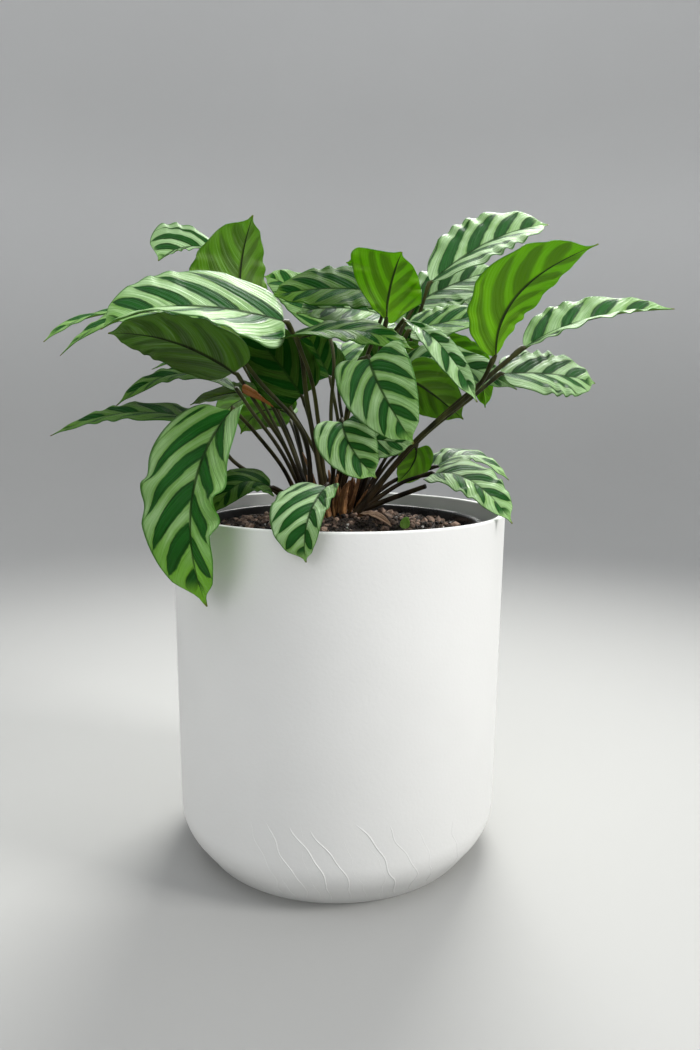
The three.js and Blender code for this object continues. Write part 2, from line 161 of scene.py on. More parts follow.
def grainOf(tree, cloudScale, grainScale, place=None):
    values = {"Place": place or objectPlace(tree), "Cloud Scale": cloudScale, "Grain Scale": grainScale}
    grain = addNode(tree, "ShaderNodeGroup", values, node_tree=grainGroup).outputs
    return grain["Tone"], grain["Relief"]


def addObject(name, data):
    added = bpy.data.objects.new(name, data)
    bpy.context.scene.collection.objects.link(added)
    return added


def addPiece(name, mesh, materials, nodes=()):
    for material in materials:
        mesh.materials.append(material)
    piece = addObject(name, mesh)
    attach(piece, "root")
    if nodes:
        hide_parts(*nodes)
    return piece


def meshOf(name, bm, smooth=True):
    for face in bm.faces:
        face.smooth = smooth
    mesh = bpy.data.meshes.new(name)
    bm.to_mesh(mesh)
    bm.free()
    return mesh


# A place in millimetres at a distance from the z axis, with its angle in radians
def polar(radius, angle, height):
    return Vector((radius * math.cos(angle), radius * math.sin(angle), height))


# A full turn of an outline given as (radius, height) in millimetres
def turned(outline, steps):
    bm = bmesh.new()
    places = [bm.verts.new((radius * mm, 0, height * mm)) for radius, height in outline]
    edges = [bm.edges.new(pair) for pair in zip(places, places[1:])]
    bmesh.ops.spin(bm, geom=places + edges, cent=(0, 0, 0), axis=(0, 0, 1), angle=math.tau,
                   steps=steps, use_merge=True)
    bmesh.ops.remove_doubles(bm, verts=bm.verts, dist=0.01 * mm)
    bmesh.ops.recalc_face_normals(bm, faces=bm.faces)
    return bm


def arc(centre, radius, start, end, steps):
    angles = [math.radians(start + (end - start) * i / steps) for i in range(steps + 1)]
    return [(centre[0] + radius * math.cos(a), centre[1] + radius * math.sin(a)) for a in angles]


# Planter

planter = {
    "height": 260,
    "radius": 125,
    "wall": 4.5,
    "floor": 7,
    "footRadius": 105,
    "footBevel": 0.8,
    "creaseRadius": 122.4,
    "creaseHeight": 24,
    "creaseRound": 12,
    "innerCreaseLift": 2,  # above the outer crease
    "innerFootInset": 4,  # from the foot's radius
    "lip": 1.4,
    "turns": 192,
    "color": color(0.77, 0.77, 0.755),
    "cloudShade": 0.04,
    "ridgeSteps": 28,
    "ridgeFoot": 1.5,  # the height where every ridge ends
    "ridgeRadius": 0.75,
    "ridgeSunk": 0.45,
    "ridgeSway": ((0.8, 9, 1), (0.35, 23, 2)),  # degrees, how fast, and how much its start shifts it
    # degrees from the front where a ridge starts, its top height, the degrees where it meets the
    # crease, and its strength
    "ridges": [(-29, 68, -20, 0.5), (-24, 69, -11, 1), (-15, 69, -2, 1), (-9, 69, 5, 0.7), (5, 73, 20, 1),
               (15, 71, 27, 0.6), (40, 62, 45, 0.4), (-34, 60, -27, 0.25), (-20, 62, -16, 0.3),
               (-12, 75, -7, 0.3), (0, 64, 9, 0.3), (10, 60, 16, 0.3), (24, 66, 34, 0.35)],
}


# A rounded corner between foot and wall, which starts and ends at a distance of reach from its point
def creaseCurve(foot, crease, top, reach, steps):
    corner = Vector(crease)
    start = corner + (Vector(foot) - corner).normalized() * reach
    end = corner + (Vector(top) - corner).normalized() * reach
    curve = []
    for i in range(steps + 1):
        t = i / steps
        curve.append(tuple(start * (1 - t) ** 2 + corner * 2 * t * (1 - t) + end * t ** 2))
    return curve


def planterOutside():
    p = planter
    bevel, lip = p["footBevel"], p["lip"]
    crease = (p["creaseRadius"], p["creaseHeight"])
    top = (p["radius"], p["height"])
    return [
        (0, 0),
        *arc((p["footRadius"] - bevel, bevel), bevel, -90, -30, 3),
        *creaseCurve((p["footRadius"], bevel), crease, top, p["creaseRound"], 10),
        *arc((p["radius"] - lip, p["height"] - lip), lip, 0, 90, 6),
    ]


def wallRadius(height):
    outline = planterOutside()
    for (r0, z0), (r1, z1) in zip(outline, outline[1:]):
        if z0 <= height <= z1:
            return r0 + (r1 - r0) * (height - z0) / max(z1 - z0, 0.01)
    return planter["radius"]


# Round tubes, each along its places in millimetres with a radius in millimetres at each of them
def tubeMesh(name, routes, sides=2):
    curve = bpy.data.curves.new(name, "CURVE")
    curve.dimensions = "3D"
    curve.bevel_depth = mm
    curve.bevel_resolution = sides
    curve.use_fill_caps = True
    for places, radii in routes:
        spline = curve.splines.new("POLY")
        spline.points.add(len(places) - 1)
        for point, place, radius in zip(spline.points, places, radii):
            point.co = (*(Vector(place) * mm), 1)
            point.radius = radius
    holder = addObject(name, curve)
    graph = bpy.context.evaluated_depsgraph_get()
    mesh = bpy.data.meshes.new_from_object(holder.evaluated_get(graph))
    bpy.data.objects.remove(holder)
    bpy.data.curves.remove(curve)
    mesh.name = name
    return mesh


def ridgeRoute(start, top, crease, strength):
    p = planter
    places, radii = [], []
    for i in range(p["ridgeSteps"] + 1):
        t = i / p["ridgeSteps"]
        height = top + (p["ridgeFoot"] - top) * t
        low = min(1, (top - height) / (top - p["creaseHeight"]))
        # below the crease it drifts on sideways
        angle = start + (crease - start) * low ** 0.9 + max(0, p["creaseHeight"] + 2 - height) * 0.07
        for degrees, speed, shift in p["ridgeSway"]:
            angle += degrees * math.sin(t * speed + shift * start)
        radius = wallRadius(height) - p["ridgeSunk"]
        places.append(polar(radius, math.radians(angle - 90), height))
        radii.append(p["ridgeRadius"] * strength ** 0.3 * min(1, 5 * t + 0.3, 8 * (1 - t) + 0.2))
    return places, radii


def makePlanter():
    p = planter
    inner = p["radius"] - p["wall"]
    crease = (p["creaseRadius"] - p["wall"], p["creaseHeight"] + p["innerCreaseLift"])
    foot = (p["footRadius"] - p["innerFootInset"], p["floor"])
    inside = [
        *arc((inner + p["lip"], p["height"] - p["lip"]), p["lip"], 90, 180, 6),
        *reversed(creaseCurve(foot, crease, (inner, p["height"]), p["creaseRound"], 8)),
        foot,
        (0, p["floor"]),
    ]
    bm = turned(planterOutside() + inside, p["turns"])
    bm.from_mesh(tubeMesh("ridges", [ridgeRoute(*ridge) for ridge in p["ridges"]]))
    material, tree, shader, _ = newMaterial("planterWhite")
    tone, relief = grainOf(tree, 9, 420)
    setFinish(tree, shader, layered(tree, p["color"], [(tone, p["cloudShade"], black)]), 0.5, 0.4)
    addBump(tree, shader, relief, 0.12 * mm, 0.7)
    addPiece("planter", meshOf("planter", bm), [material], ["cover_pot"])


# Nursery pot

innerPot = {
    "height": 244,
    "baseRadius": 84,
    "baseChamfer": 1,
    "topRadius": 105.5,
    "wall": 1.6,
    "rim": 4.5,
    "rimHeight": 6,
    "rimCorner": 0.6,
    "rimRound": 1.6,
    "lipRound": 1.4,  # of the rim's inner edge
    "base": 7.3,
    "baseThickness": 2.2,
    "holes": 6,
    "holeRadius": 6,
    "holeCircle": 52,
    "holeDepth": 12,
    "turns": 144,
    "dark": color(0.010, 0.011, 0.012),
    "light": color(0.022, 0.022, 0.023),
}


def makeInnerPot():
    p = innerPot
    base, chamfer, corner = p["base"], p["baseChamfer"], p["rimCorner"]
    rimTop = base + p["height"]
    rimBottom = rimTop - p["rimHeight"]
    outer = p["topRadius"] + p["rim"]
    inner = p["topRadius"] - p["wall"]
    outline = [
        (0, base),
        (p["baseRadius"] - chamfer, base),
        (p["baseRadius"], base + chamfer),
        (p["topRadius"], rimBottom - corner),
        (p["topRadius"] + corner, rimBottom),
        (outer - corner, rimBottom + 0.4),
        (outer, rimBottom + 2 * corner),
        *arc((outer - p["rimRound"], rimTop - p["rimRound"]), p["rimRound"], 0, 90, 5),
        *arc((inner + p["lipRound"], rimTop - p["lipRound"]), p["lipRound"], 90, 180, 5),
        (inner, rimBottom - 3),
        (p["baseRadius"] - p["wall"], base + p["baseThickness"]),
        (0, base + p["baseThickness"]),
    ]
    material, tree, shader, _ = newMaterial("blackPlastic")
    tone, relief = grainOf(tree, 30, 500)
    shade = mixColor(tree, tone, p["dark"], p["light"])
    setFinish(tree, shader, shade, ramp(tree, tone, -0.6, 2.4, False))
    addBump(tree, shader, relief, 0.08 * mm, 0.6)
    pot = addPiece("nurseryPot", meshOf("nurseryPot", turned(outline, p["turns"])), [material],
                   ["nursery_pot"])
    drills = bmesh.new()
    for i in range(p["holes"]):
        place = polar(p["holeCircle"], i * math.tau / p["holes"], base + 1) * mm
        bmesh.ops.create_cone(drills, cap_ends=True, segments=24, radius1=p["holeRadius"] * mm,
                              radius2=p["holeRadius"] * mm, depth=p["holeDepth"] * mm,
                              matrix=Matrix.Translation(place))
    cutter = addObject("drills", meshOf("drills", drills, False))
    cut = pot.modifiers.new("drainHoles", "BOOLEAN")
    cut.object = cutter
    cut.solver = "EXACT"
    graph = bpy.context.evaluated_depsgraph_get()
    pot.data = bpy.data.meshes.new_from_object(pot.evaluated_get(graph))
    pot.modifiers.clear()
    bpy.data.objects.remove(cutter)


# Potting mix

soil = {
    "edge": 243,
    "crown": 254,
    "crownPlace": (0, 14),
    "radius": 103,
    "sideDrop": 3,  # from the edge's height down to the side's top
    "bottom": 9.8,
    "bottomRadius": 81.8,
    "turns": 160,
    "rings": 56,
    "roughScale": 0.35,
    "roughHeight": 1.6,
    "strewnRadius": 99,
    "batch": 120,
    "pottingMix": {"dark": color(0.006, 0.005, 0.004), "light": color(0.045, 0.03, 0.022), "clouds": 260},
    # what is strewn over the mix, by its material's name
    "strewn": {
        "crumbBrown": {"dark": color(0.008, 0.006, 0.005), "light": color(0.06, 0.042, 0.032),
                       "clouds": 120, "count": 2300, "size": (0.8, 2.6), "seed": 5},
        "barkTan": {"dark": color(0.05, 0.030, 0.022), "light": color(0.31, 0.21, 0.155),
                    "clouds": 180, "count": 440, "size": (1.3, 4.4), "seed": 6},
        "perlite": {"dark": color(0.35, 0.33, 0.31), "light": color(0.75, 0.73, 0.70),
                    "clouds": 200, "count": 110, "size": (0.8, 2.2), "seed": 7},
    },
}


def soilTop(x, y):
    crown = soil["crownPlace"]
    away = min(1, math.hypot(x - crown[0], y - crown[1]) / innerPot["topRadius"])
    fall = away * away * (3 - 2 * away)
    lumps = 0.8 * math.sin(x * 0.21 + 1) * math.cos(y * 0.17)
    return soil["crown"] - (soil["crown"] - soil["edge"]) * fall + lumps


def soilMaterial(name, look):
    material, tree, shader, _ = newMaterial(name)
    tone, relief = grainOf(tree, look["clouds"], 1400)
    setFinish(tree, shader, mixColor(tree, tone, look["dark"], look["light"]), 0.95)
    addBump(tree, shader, relief, 0.5 * mm)
    return material


# Crumbs of one kind strewn over the soil, made in batches so that each batch stays quick to add to
def strewn(bm, look, materialIndex):
    draw = random.Random(look["seed"])
    low, high = look["size"]
    for first in range(0, look["count"], soil["batch"]):
        part = bmesh.new()
        for _ in range(min(soil["batch"], look["count"] - first)):
            away = soil["strewnRadius"] * math.sqrt(draw.random())
            around = draw.uniform(0, math.tau)
            x, y = away * math.cos(around), away * math.sin(around)
            size = low + (high - low) * draw.random() ** 2.2
            place = Vector((x, y, soilTop(x, y) + size * 0.25 + draw.uniform(-0.4, 0.6))) * mm
            turn = Matrix.Rotation(draw.uniform(0, math.tau), 3, "Z")
            turn = turn @ Matrix.Rotation(draw.uniform(0, 3), 3, "X")
            scale = Matrix.Diagonal((draw.uniform(0.7, 1.5), draw.uniform(0.6, 1.0), draw.uniform(0.45, 0.9)))
            shape = Matrix.Translation(place) @ (turn @ scale * size * mm).to_4x4()
            made = bmesh.ops.create_icosphere(part, subdivisions=1, radius=1, matrix=shape)
            for vert in made["verts"]:
                vert.co += Vector([draw.uniform(-0.22, 0.22) * size * mm for _ in range(3)])
        for face in part.faces:
            face.material_index = materialIndex
        scrap = bpy.data.meshes.new("batch")
        part.to_mesh(scrap)
        part.free()
        bm.from_mesh(scrap)
        bpy.data.meshes.remove(scrap)


def makeSoil():
    p = soil
    sideTop = p["edge"] - p["sideDrop"]
    outline = [(0, p["bottom"]), (p["bottomRadius"], p["bottom"]), (p["radius"], sideTop)]
    outline += [(p["radius"] * (1 - i / p["rings"]), sideTop + 1) for i in range(1, p["rings"] + 1)]
    bm = turned(outline, p["turns"])
    for vert in bm.verts:
        x, y, z = vert.co / mm
        if z > sideTop + 0.5:
            rough = noise.fractal(Vector((x, y, 0)) * p["roughScale"], 0.6, 2.1, 5) * p["roughHeight"]
            vert.co.z = (soilTop(x, y) + rough - 0.6) * mm
    mix = soilMaterial("pottingMix", p["pottingMix"])
    addPiece("pottingMix", meshOf("pottingMix", bm), [mix], ["soil"])

    crumbs = bmesh.new()
    for index, look in enumerate(p["strewn"].values()):
        strewn(crumbs, look, index)
    materials = [soilMaterial(name, look) for name, look in p["strewn"].items()]
    addPiece("soilCrumbs", meshOf("soilCrumbs", crumbs, False), materials)


# Leaf blades. Each is given by its midrib's base, middle and tip, its width across, and the way its
# upper surface faces, in millimetres and as in the frame, with tipFace where it turns towards the tip.
# rise is the angle at which the left and right halves rise from the midrib, tipRise the same at the
# tip, curl the angle that they bend back by, halves their share of the width, widest how far along
# each is widest, lobes how far they reach back past the petiole. shoulder, wedge and taper shape the
# outline. waves is how many waves the margins have, wavy how deep they are, bands how many stripes lie
# beside the midrib. silver is how pale the bands are. This is partly their own silver and deeper green,
# and partly painted light: lit leaves are paler, and leaves in shade get dim bands as painted shade.
# fresh is how light the underside is, as a painted glow of the light through it and olive as painted
# shade where little light reaches, and how light a green the bands have towards the tip.

bladeLook = {
    "rows": 64,
    "columns": 32,
    "rowCrowding": 1.25,  # packs the rows towards the petiole
    "columnCrowding": 1.2,  # packs the columns towards the midrib
    "thickness": 0.45,
    "rib": 1.5,
    "ribWidth": 1.1,
    "halves": (1, 1),
    "widest": (0.3, 0.3),
    "shoulder": 3,
    "wedge": 0.5,
    "taper": 0.75,
    "lobes": (3, 3),
    "lobeReach": 0.05,  # how far along the midrib a lobe reaches back most
    "rise": (15, 15),
    "curl": (-20, -20),
    "leastHalfWidth": 1.2,
    "waves": 5.2,
    "waveDepth": 0.036,  # of the width
    "wavy": 1,
    "margins": (1, 1),  # how much of the waves each margin takes
    "pucker": 0.4,
    "dripStart": 0.88,
    "dripEnd": 0.97,
    "dripWidth": 0.3,
    "leastBands": 2.5,
    "bandLength": 60,  # of midrib for each further band
    "veinSweep": (0.9, 0.6),  # how far a vein runs forward as it starts, and more of it further out
    "rightShift": 0.35,  # of a band, between the stripes of the two halves
    "silver": 0.5,
    "fresh": 0.3,
}


def leaf(base, middle, tip, width, face, **shape):
    points = (Vector(base), Vector(middle), Vector(tip))
    return {"points": points, "width": width, "face": Vector(face), **shape}


# A leaf's own value, or the one that it shares with the others
def trait(shape, name):
    return shape.get(name, bladeLook[name])


leaves = {
    "left_1": leaf((-104, 92, 466), (-130, 83, 467), (-151, 72, 454), 58, (-0.2, -0.95, 0.25),
        rise=(60, 8), lobes=(0, 0), halves=(0.3, 1), widest=(0.5, 0.65), shoulder=1.2, wedge=0.9,
        silver=1, bands=3.4),
    "left_2": leaf((-73, 30, 388), (-80, 42, 436), (-68, 30, 481), 78, (-0.4, 0.9, 0.15), rise=(45, 8),
        halves=(0.9, 1.12), fresh=0.45),
    "left_3": leaf((-38, -45, 394), (-100, -89, 398), (-146, -105, 382), 66, (0, -0.9, 0.4), rise=(10, 0),
        tipRise=(70, 0), lobes=(2, 8), silver=0.76, wavy=0.6),
    "left_4": leaf((-102, 55, 404), (-177, 35, 409), (-223, 5, 383), 38, (0, -0.15, 1)),
    "left_5": leaf((-90, 0, 391), (-146, -22, 401), (-195, -40, 370), 40, (0, -0.7, 0.7),
        tipFace=(0, -0.1, 1)),
    "left_6": leaf((-75, -30, 360), (-112, -60, 379), (-149, -80, 382), 60, (-0.1, 0.5, 0.87), fresh=0,
        wavy=0.7),
    "left_7": leaf((-87, 65, 376), (-118, 50, 376), (-151, 40, 365), 34, (0, -0.1, 1)),
    "left_8": leaf((-81, 8, 350), (-122, -8, 359), (-162, -22, 336), 38, (0, -0.3, 0.95), silver=0.15),
    "left_9": leaf((-63, 40, 348), (-90, 33, 347), (-118, 25, 337), 38, (0, 0.3, 0.95), lobes=(0, 0),
        silver=0.2),
    "left_10": leaf((-97, -20, 323), (-150, -30, 331), (-208, -30, 314), 42, (0, -0.3, 0.95),
        silver=0.15),
    "left_11": leaf((-71, -72, 333), (-89, -118, 278), (-82, -114, 210), 82, (-0.3, -0.95, 0.15),
        rise=(50, 5), tipRise=(32, 5), halves=(0.62, 1), lobes=(4, 12), shoulder=3.6, taper=0.62,
        wavy=1.2, margins=(2.2, 1), waves=3.4, silver=0.6, fresh=1.1),
    "left_12": leaf((-50, -28, 278), (-70, -45, 282), (-86, -62, 262), 36, (-0.2, -0.6, 0.75),
        silver=0.1),
    "left_13": leaf((-43, 88, 330), (-68, 85, 333), (-86, 80, 313), 42, (0, 0.8, 0.6)),
    "front_1": leaf((-7, -92, 285), (-17, -126, 268), (-18, -134, 243), 54, (-0.2, -0.85, 0.5),
        rise=(38, 10), tipRise=(44, 10), halves=(0.56, 1), lobes=(2, 7), silver=0.8, wavy=0.7, bands=3.6),
    "front_2": leaf((-28, -44, 384), (11, -61, 387), (49, -72, 374), 42, (0, -0.3, 0.95), rise=(20, 28),
        tipRise=(20, -5), lobes=(14, 12), shoulder=4, silver=0.15),
    "front_3": leaf((20, -82, 367), (28, -108, 345), (47, -116, 314), 50, (-0.15, -0.9, 0.4),
        rise=(35, 5), tipRise=(30, 5), lobes=(4, 14), shoulder=5, silver=0.7, wavy=0.7),
    "front_4": leaf((3, -72, 326), (9, -89, 310), (25, -94, 291), 42, (0, -0.85, 0.5), rise=(40, 15),
        lobes=(4, 4), silver=0.75),
    "front_5": leaf((9, -48, 318), (29, -55, 314), (51, -62, 312), 34, (0, -0.85, 0.5), silver=0.85),
    "front_6": leaf((32, -44, 396), (34, -47, 416), (41, -60, 438), 64, (-0.1, 0.97, 0.2), lobes=(4, 0),
        halves=(0.75, 1), widest=(0.35, 0.8), shoulder=1.2, wedge=0.9, fresh=1.2, wavy=1.7),
    "front_7": leaf((46, -37, 396), (69, -66, 376), (90, -85, 340), 28, (0.35, -0.7, 0.6), rise=(60, 10),
        lobes=(0, 0), halves=(0.55, 1), widest=(0.55, 0.55), shoulder=1.5, wedge=0.9, silver=1),
    "mid_1": leaf((-31, 34, 345), (-51, 22, 373), (-76, 12, 402), 54, (0.1, -0.95, 0.3), silver=0),
    "mid_2": leaf((34, -10, 418), (-7, -25, 419), (-49, -35, 412), 54, (0, -0.65, 0.75), silver=0.05),
    "mid_3": leaf((-14, 80, 407), (-40, 88, 434), (-67, 94, 446), 40, (0, -0.8, 0.6), silver=0.6),
    "mid_4": leaf((40, 35, 406), (3, 10, 410), (-32, -8, 404), 40, (0, -0.8, 0.6), silver=0.7),
    "mid_5": leaf((39, 95, 427), (22, 100, 450), (3, 100, 459), 34, (0, 0.7, 0.7), fresh=0.8),
    "right_1": leaf((72, 55, 437), (122, 70, 472), (170, 80, 487), 66, (-0.1, -0.85, 0.5), rise=(5, 45),
        lobes=(0, 0), widest=(0.4, 0.4), shoulder=1.8, wedge=0.65, silver=0.85, wavy=1.3, waves=7),
    "right_2": leaf((63, 85, 423), (94, 98, 441), (137, 110, 457), 54, (-0.1, -0.75, 0.65), silver=0.95,
        wavy=1.2),
    "right_3": leaf((108, -40, 372), (120, -58, 413), (166, -75, 441), 68, (-0.4, 0.85, 0.35),
        rise=(30, 8), lobes=(0, 0), halves=(0.75, 1), widest=(0.42, 0.42), shoulder=1.6, wedge=0.75,
        taper=1.2, fresh=1.3, wavy=0.9),
    "right_4": leaf((133, -20, 380), (183, -8, 402), (249, 5, 411), 42, (0, -0.8, 0.6), rise=(10, 60),
        lobes=(0, 0), widest=(0.35, 0.35), shoulder=2, wedge=0.7, silver=0.75, wavy=1.6, waves=6.5),
    "right_5": leaf((121, -5, 362), (163, 6, 362), (195, 12, 356), 50, (0, -0.75, 0.65), rise=(8, 20),
        widest=(0.45, 0.45), silver=1, wavy=1.5, waves=6.5),
    "right_6": leaf((54, 15, 395), (82, 10, 401), (115, 5, 408), 44, (0, -0.6, 0.8), silver=0.6),
    "right_7": leaf((51, 90, 405), (84, 95, 425), (127, 98, 432), 44, (0, -0.7, 0.7), silver=0.7),
    "right_8": leaf((50, 5, 359), (70, 4, 347), (94, 6, 328), 44, (0.1, 0.9, 0.4), fresh=0.65),
    "right_9": leaf((60, 20, 305), (57, 20, 292), (45, 18, 278), 28, (0.2, 0.9, 0.3), fresh=0.65),
    "right_10": leaf((71, -14, 288), (96, -42, 284), (120, -64, 258), 42, (0.1, -0.7, 0.7), rise=(10, 25),
        silver=0.85, wavy=1.5),
    "right_11": leaf((77, 25, 291), (105, 32, 299), (135, 28, 280), 38, (0, -0.2, 0.98), silver=0.85,
        wavy=1.2),
    "right_12": leaf((110, 66, 382), (116, 62, 361), (119, 58, 337), 22, (0.3, 0.9, 0.3), fresh=1),
    "right_13": leaf((53, 27, 365), (89, 23, 370), (136, 15, 351), 39, (0, -0.75, 0.65), silver=0.8),
    "right_14": leaf((75, 50, 389), (97, 46, 383), (118, 42, 372), 30, (0, 0.6, 0.8), fresh=0.8),
    "right_15": leaf((40, 42, 382), (54, 42, 384), (68, 42, 378), 16, (0, 0.5, 0.87)),
    "back_1": leaf((-10, 80, 362), (-21, 100, 382), (-32, 112, 403), 40, (0, -0.9, 0.4), silver=0),
    "back_2": leaf((26, 80, 343), (44, 105, 385), (69, 120, 405), 46, (0, -0.9, 0.4), silver=0),
    "back_3": leaf((-50, 110, 330), (-90, 160, 345), (-125, 200, 322), 50, (0, 0.1, 1)),
    "back_4": leaf((55, 110, 335), (85, 160, 355), (112, 195, 345), 50, (0, 0.1, 1)),
    "back_5": leaf((-3, 110, 368), (0, 160, 396), (8, 205, 386), 52, (0, 0.1, 1)),
}


def midrib(points, s):
    a, b, c = points
    return a * (2 * (s - 0.5) * (s - 1)) + b * (-4 * s * (s - 1)) + c * (2 * s * (s - 0.5))


def outlineShare(shape, s, side):
    widest = trait(shape, "widest")[side]
    if s < widest:
        return (1 - ((widest - s) / widest) ** trait(shape, "shoulder")) ** trait(shape, "wedge")
    return (1 - ((s - widest) / (1 - widest)) ** 2) ** trait(shape, "taper")


def smoothStep(value, low, high):
    t = min(1, max(0, (value - low) / (high - low)))
    return t * t * (3 - 2 * t)


# The half width of one side, 0 left and 1 right, narrowed near the end into a drip tip
def halfWidth(shape, s, side):
    look = bladeLook
    half = shape["width"] / 2 * outlineShare(shape, s, side) * trait(shape, "halves")[side]
    drip = smoothStep(s, look["dripStart"], look["dripEnd"])
    half *= 1 - (1 - look["dripWidth"]) * drip
    return max(half, look["leastHalfWidth"] * (1 - 0.6 * drip))


# A blade's own axes at s along its midrib: its place, the way to its tip, the way to its right, and
# up from its surface
def bladeAxes(shape, s):
    points = shape["points"]
    along = (midrib(points, s + 0.01) - midrib(points, s - 0.01)).normalized()
    facing = shape["face"].lerp(Vector(shape.get("tipFace", shape["face"])), s)
    right = along.cross(facing).normalized()
    return midrib(points, s), along, right, right.cross(along)


# t runs from the left margin (-1) to the right one (1), extra is how far a wave lifts the place
def bladePlace(shape, axes, half, s, t, extra):
    place, along, right, up = axes
    side = 0 if t < 0 else 1
    rise = trait(shape, "rise")[side]
    tipRise = shape.get("tipRise", trait(shape, "rise"))[side]
    start = math.radians(rise + (tipRise - rise) * s * (2 - s))
    bend = math.radians(trait(shape, "curl")[side])
    end = start + bend * abs(t)
    out = half * (math.sin(end) - math.sin(start)) / bend
    high = -half * (math.cos(end) - math.cos(start)) / bend
    near = s / bladeLook["lobeReach"]
    back = trait(shape, "lobes")[side] * near * math.exp(1 - near) * abs(t) ** 1.5
    out -= extra * math.sin(end)
    return place - along * back + right * math.copysign(out, t) + up * (high + extra * math.cos(end))


def bladeLength(points):
    return (points[1] - points[0]).length + (points[2] - points[1]).length


# The number of the vein that passes here, counted from the base, with each vein swept forward
def veinPhase(shape, length, half, s, t):
    look = bladeLook
    bands = shape.get("bands", look["leastBands"] + length / look["bandLength"])
    reach = abs(t) * half
    first, further = look["veinSweep"]
    sweep = first * reach + further * reach * abs(t)
    return bands * (s - sweep / length) + (look["rightShift"] if t > 0 else 0)


# A wave between -1 and 1 with narrow crests and broad troughs
def scallop(turns):
    return 0.5 * math.sin(math.tau * turns) + 0.5 * (1 - 2 * abs(math.sin(math.pi * turns)) ** 0.8)


def bladeMesh(name, shape, draw, look=bladeLook, bandOffset=0):
    bm = bmesh.new()
    bladeMap = bm.loops.layers.uv.new("blade")
    bandMap = bm.loops.layers.uv.new("bands")
    weights = bm.verts.layers.deform.new()
    silver = bm.verts.layers.float.new("silver")
    fresh = bm.verts.layers.float.new("fresh")
    bmesh.ops.create_grid(bm, x_segments=look["rows"], y_segments=look["columns"], size=1)
    length = bladeLength(shape["points"])
    wavePhase = [draw.uniform(0, 1), draw.uniform(0, 1)]
    waves = shape.get("waves", look["waves"] * draw.uniform(0.85, 1.15) * (0.7 + length / 350))
    depth = shape["width"] * look["waveDepth"] * trait(shape, "wavy")
    rows = {}
    spots = {}
    for vert in bm.verts:
        s = ((vert.co.x + 1) / 2) ** look["rowCrowding"]
        across = vert.co.y if abs(vert.co.y) > 1e-5 else 0.0
        t = math.copysign(abs(across) ** look["columnCrowding"], across)
        row = round(s, 5)
        if row not in rows:
            rows[row] = bladeAxes(shape, s), [halfWidth(shape, s, 0), halfWidth(shape, s, 1)]
        axes, halves = rows[row]
        side = 0 if t < 0 else 1
        half = halves[side]
        out = abs(t)
        phase = veinPhase(shape, length, half, s, t)
        calm = math.sin(math.pi * min(1, s * 1.1)) ** 0.6
        uneven = 0.3 * math.sin(math.tau * (1.7 * s + 2 * wavePhase[side]))
        extra = depth * calm * out ** 2.4 * scallop(waves * s + wavePhase[side] + uneven)
        extra *= trait(shape, "margins")[side]
        extra += look["pucker"] * math.sin(math.tau * phase) * 4 * out * (1 - out) * min(1, half / 12)
        rib = max(0, 1 - out * half / look["ribWidth"]) * (1 - s) ** 0.6
        spots[vert] = (s, t, phase + bandOffset)
        vert[weights][0] = (look["thickness"] + look["rib"] * rib) / (look["thickness"] + look["rib"])
        vert[silver] = trait(shape, "silver")
        vert[fresh] = trait(shape, "fresh")
        vert.co = bladePlace(shape, axes, half, s, t, extra) * mm
    for face in bm.faces:
        for loop in face.loops:
            s, t, phase = spots[loop.vert]
            loop[bladeMap].uv = (s, (t + 1) / 2)
            loop[bandMap].uv = (phase, abs(t))
    # the upper side is the one that faces as the leaf does
    centre, _, _, up = bladeAxes(shape, 0.5)
    bm.normal_update()
    middle = min(bm.faces, key=lambda face: (face.calc_center_median() / mm - centre).length)
    if middle.normal.dot(up) < 0:
        bmesh.ops.reverse_faces(bm, faces=bm.faces)
    return meshOf(name, bm)


# Thins from the midrib to the margin, with the underside as the second material
def thicken(piece, look=bladeLook):
    piece.vertex_groups.new(name="thick")
    solid = piece.modifiers.new("thickness", "SOLIDIFY")
    solid.thickness = (look["thickness"] + look["rib"]) * mm
    solid.offset = -1
    solid.vertex_group = "thick"
    solid.material_offset = 1
    solid.material_offset_rim = 0


# Half a stripe's width as a share of its band, from the midrib out to the margin
stripeProfile = ((0, 0.25), (0.12, 0.29), (0.4, 0.32), (0.6, 0.26), (0.8, 0.13), (0.93, 0.01), (1, 0))


